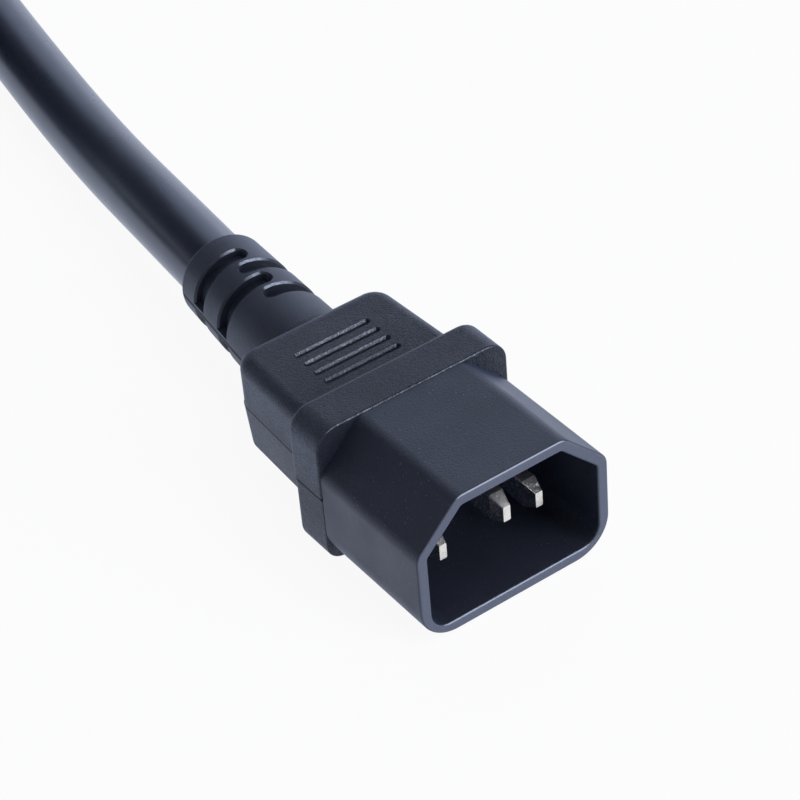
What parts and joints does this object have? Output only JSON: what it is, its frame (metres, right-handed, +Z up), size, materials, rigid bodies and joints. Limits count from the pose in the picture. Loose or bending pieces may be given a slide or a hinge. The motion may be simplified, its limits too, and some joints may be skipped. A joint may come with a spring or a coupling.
{
  "type": "power adapter cable",
  "caption": "Short appliance power cable with a moulded male plug, thick round cable in a tied coil and a moulded female connector.",
  "frame": {"origin": "on the surface that the plug lies on, under the middle of the plug's box", "axes": "+Z up, with the coupler's two cut corners up; X across the plug; +Y from the plug's mouth towards its cable"},
  "size_m": [0.1088, 0.2411, 0.0223],
  "materials": {
    "shroud_plastic": "smooth satin black plastic",
    "moulding_pvc": "finely grained soft black PVC",
    "jacket_pvc": "smooth satin black PVC jacket",
    "inner_plastic": "plain dark plastic, not seen",
    "nickel_plate": "bright nickel plate with drawing lines",
    "copper_strand": "bare copper strand, not seen",
    "line_insulation": "brown core insulation, not seen",
    "neutral_insulation": "blue core insulation, not seen",
    "earth_insulation": "green and yellow core insulation, not seen",
    "tie_fabric": "black hook and loop tape"
  },
  "bodies": {
    "root": {"plug_shroud": "shroud_plastic", "plug_overmould": "moulding_pvc", "plug_inner_mould": "inner_plastic", "line_blade": "nickel_plate", "neutral_blade": "nickel_plate", "earth_blade": "nickel_plate", "plug_line_core": "line_insulation", "plug_neutral_core": "neutral_insulation", "plug_earth_core": "earth_insulation", "plug_line_strands": "copper_strand", "plug_neutral_strands": "copper_strand", "plug_earth_strands": "copper_strand", "cable": "jacket_pvc", "cable_coil": "jacket_pvc", "cable_tail": "jacket_pvc", "coil_tie": "tie_fabric", "connector_insert": "shroud_plastic", "connector_overmould": "moulding_pvc", "connector_inner_mould": "inner_plastic", "line_contact": "nickel_plate", "neutral_contact": "nickel_plate", "earth_contact": "nickel_plate", "connector_line_core": "line_insulation", "connector_neutral_core": "neutral_insulation", "connector_earth_core": "earth_insulation", "connector_line_strands": "copper_strand", "connector_neutral_strands": "copper_strand", "connector_earth_strands": "copper_strand"}
  },
  "joints": []
}
